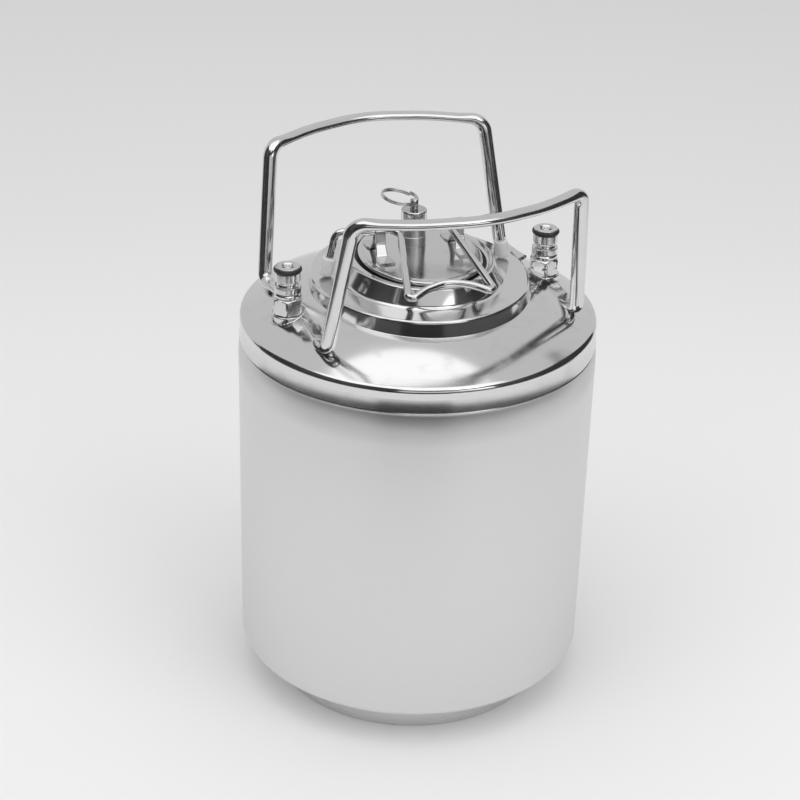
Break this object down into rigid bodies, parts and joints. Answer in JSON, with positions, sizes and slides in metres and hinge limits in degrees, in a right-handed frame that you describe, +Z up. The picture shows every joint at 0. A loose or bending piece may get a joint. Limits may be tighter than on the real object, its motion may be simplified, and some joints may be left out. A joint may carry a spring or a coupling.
{
  "type": "mini keg",
  "caption": "Small stainless pressure keg with welded grab handles, ball-lock gas and liquid posts, and an oval lid held by a wire bail with a ring-pull relief valve.",
  "frame": {"origin": "on the floor under the vessel's axis, at the centre of the foot ring", "axes": "+Z up the vessel's axis; the gas post at +X and the liquid post at -X; the front handle and the bail's grip at -Y"},
  "size_m": [0.228, 0.228, 0.3577],
  "materials": {
    "brushed_shell": "bead-blasted and lightly brushed stainless sheet, pale grey",
    "polished_head": "buffed stainless pressing, soft mirror",
    "satin_rod": "satin stainless rod, buffed along its length",
    "pressed_strap": "folded stainless strap, fine grain along the strip",
    "turned_steel": "turned stainless with fine tool rings, bright",
    "tube_steel": "drawn stainless tube",
    "spring_wire": "bright drawn spring wire",
    "black_rubber": "moulded black rubber with a faint sheen",
    "grey_sleeve": "soft grey moulded sleeve, slightly milky"
  },
  "bodies": {
    "keg": {"body_shell": "brushed_shell", "top_end_cap": "polished_head", "foot_ring": "brushed_shell", "hatch_ring": "polished_head", "handle_front": "satin_rod", "handle_rear": "satin_rod", "gas_port": "turned_steel", "gas_post": "turned_steel", "gas_post_oring": "black_rubber", "gas_poppet_spring": "spring_wire", "gas_dip_tube": "tube_steel", "gas_tube_oring": "black_rubber", "liquid_port": "turned_steel", "liquid_post": "turned_steel", "liquid_post_oring": "black_rubber", "liquid_poppet_spring": "spring_wire", "liquid_dip_tube": "tube_steel", "liquid_tube_oring": "black_rubber"},
    "lid": {"lid": "polished_head", "lid_gasket": "black_rubber", "bail_clip_left": "pressed_strap", "bail_clip_right": "pressed_strap", "relief_valve_body": "turned_steel", "relief_valve_nut": "turned_steel", "relief_valve_cap": "turned_steel", "relief_valve_spring": "spring_wire"},
    "bail": {"lid_bail": "satin_rod", "bail_foot_left": "grey_sleeve", "bail_foot_right": "grey_sleeve"},
    "relief_stem": {"relief_valve_stem": "turned_steel", "relief_valve_seal": "black_rubber"},
    "pull_ring": {"pull_ring": "spring_wire"},
    "gas_poppet": {"gas_poppet": "turned_steel", "gas_poppet_seal": "black_rubber"},
    "liquid_poppet": {"liquid_poppet": "turned_steel", "liquid_poppet_seal": "black_rubber"}
  },
  "joints": [
    {"name": "bail_hinge", "type": "hinge", "parent": "lid", "child": "bail", "pos_m": [0.00038, 0.00398, 0.3126], "axis": [-0.9954, 0.0958, 0], "range_deg": [0, 105]},
    {"name": "lid_drop", "type": "slide", "parent": "keg", "child": "lid", "axis": [0, 0, -1], "range_m": [0, 0.003]},
    {"name": "relief_lift", "type": "slide", "parent": "lid", "child": "relief_stem", "axis": [0, 0, 1], "range_m": [0, 0.003], "stiffness_N_per_m": 1500, "springref_m": -0.004, "deforming": ["relief_valve_spring"]},
    {"name": "ring_swing", "type": "hinge", "parent": "relief_stem", "child": "pull_ring", "pos_m": [0.00134, 0.01394, 0.3244], "axis": [0.9394, 0.2059, -0.2741], "range_deg": [0, 100]},
    {"name": "gas_poppet_press", "type": "slide", "parent": "keg", "child": "gas_poppet", "axis": [0, 0, -1], "range_m": [0, 0.003], "stiffness_N_per_m": 1200, "springref_m": -0.004, "deforming": ["gas_poppet_spring"]},
    {"name": "liquid_poppet_press", "type": "slide", "parent": "keg", "child": "liquid_poppet", "axis": [0, 0, -1], "range_m": [0, 0.003], "stiffness_N_per_m": 1200, "springref_m": -0.004, "deforming": ["liquid_poppet_spring"]}
  ],
  "couplings": [
    {"joint": "lid_drop", "follows": "bail_hinge", "m_per_rad": 0.0016}
  ]
}
